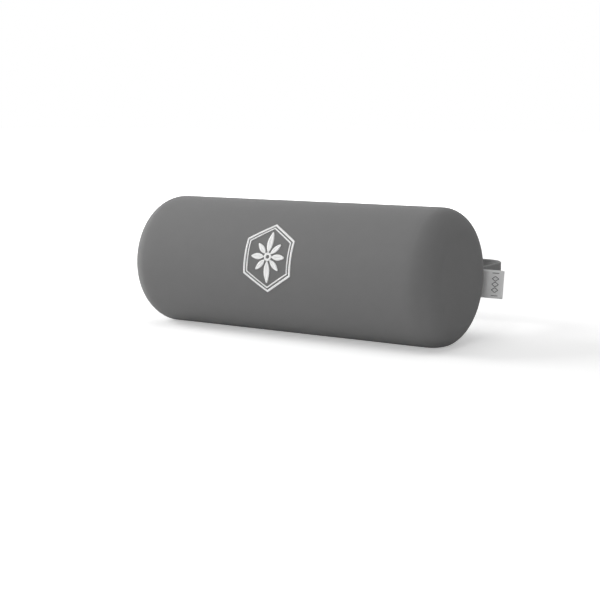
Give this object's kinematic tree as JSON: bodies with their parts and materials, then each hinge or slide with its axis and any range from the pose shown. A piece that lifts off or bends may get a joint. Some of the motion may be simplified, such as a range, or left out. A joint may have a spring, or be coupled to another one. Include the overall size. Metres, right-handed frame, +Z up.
{
  "type": "car neck pillow",
  "caption": "Roll-shaped foam neck pillow with a zipped cloth cover and a webbing strap with a side release buckle that goes round a car seat's headrest.",
  "frame": {"origin": "middle of the flat spot that the roll lies on, straight below its axis", "axes": "+X along the roll, towards the end with the tag; +Y to the roll's back, where the strap is; +Z up"},
  "size_m": [0.3122, 0.1951, 0.113],
  "materials": {
    "foam": "open-cell memory foam",
    "cover_cloth": "smooth matt microfibre knit",
    "zip_tape": "woven tape with moulded teeth",
    "zip_plastic": "moulded acetal",
    "webbing": "woven elastic webbing",
    "ribbon": "satin ribbon",
    "buckle_plastic": "fine-textured moulding",
    "thread": "embroidery thread with a low sheen"
  },
  "bodies": {
    "root": {"foam_core": "foam", "cover_sleeve": "cover_cloth", "cover_end_left": "cover_cloth", "cover_end_right": "cover_cloth", "zip_half_upper": "zip_tape", "zip_half_lower": "zip_tape", "zip_end_stop": "zip_plastic", "strap_left": "webbing", "strap_right": "webbing", "side_tag": "ribbon", "buckle_socket": "buckle_plastic", "emblem_frame_outer": "thread", "emblem_frame_inner": "thread", "emblem_rosette": "thread"},
    "zip_slider": {"zip_slider": "zip_plastic"},
    "zip_pull": {"zip_pull": "zip_plastic"},
    "buckle_tongue": {"buckle_tongue": "buckle_plastic"}
  },
  "joints": [
    {"name": "zip_slide", "type": "slide", "parent": "root", "child": "zip_slider", "axis": [1, 0, 0], "range_m": [0, 0.1868], "deforming": ["zip_half_upper", "zip_half_lower"]},
    {"name": "pull_swing", "type": "hinge", "parent": "zip_slider", "child": "zip_pull", "pos_m": [-0.096, 0.05181, 0.08308], "axis": [0, -0.4695, 0.8829], "range_deg": [0, 175]},
    {"name": "buckle_release", "type": "slide", "parent": "root", "child": "buckle_tongue", "axis": [1, 0, 0], "range_m": [0, 0.022], "deforming": ["strap_right", "buckle_tongue"]}
  ]
}
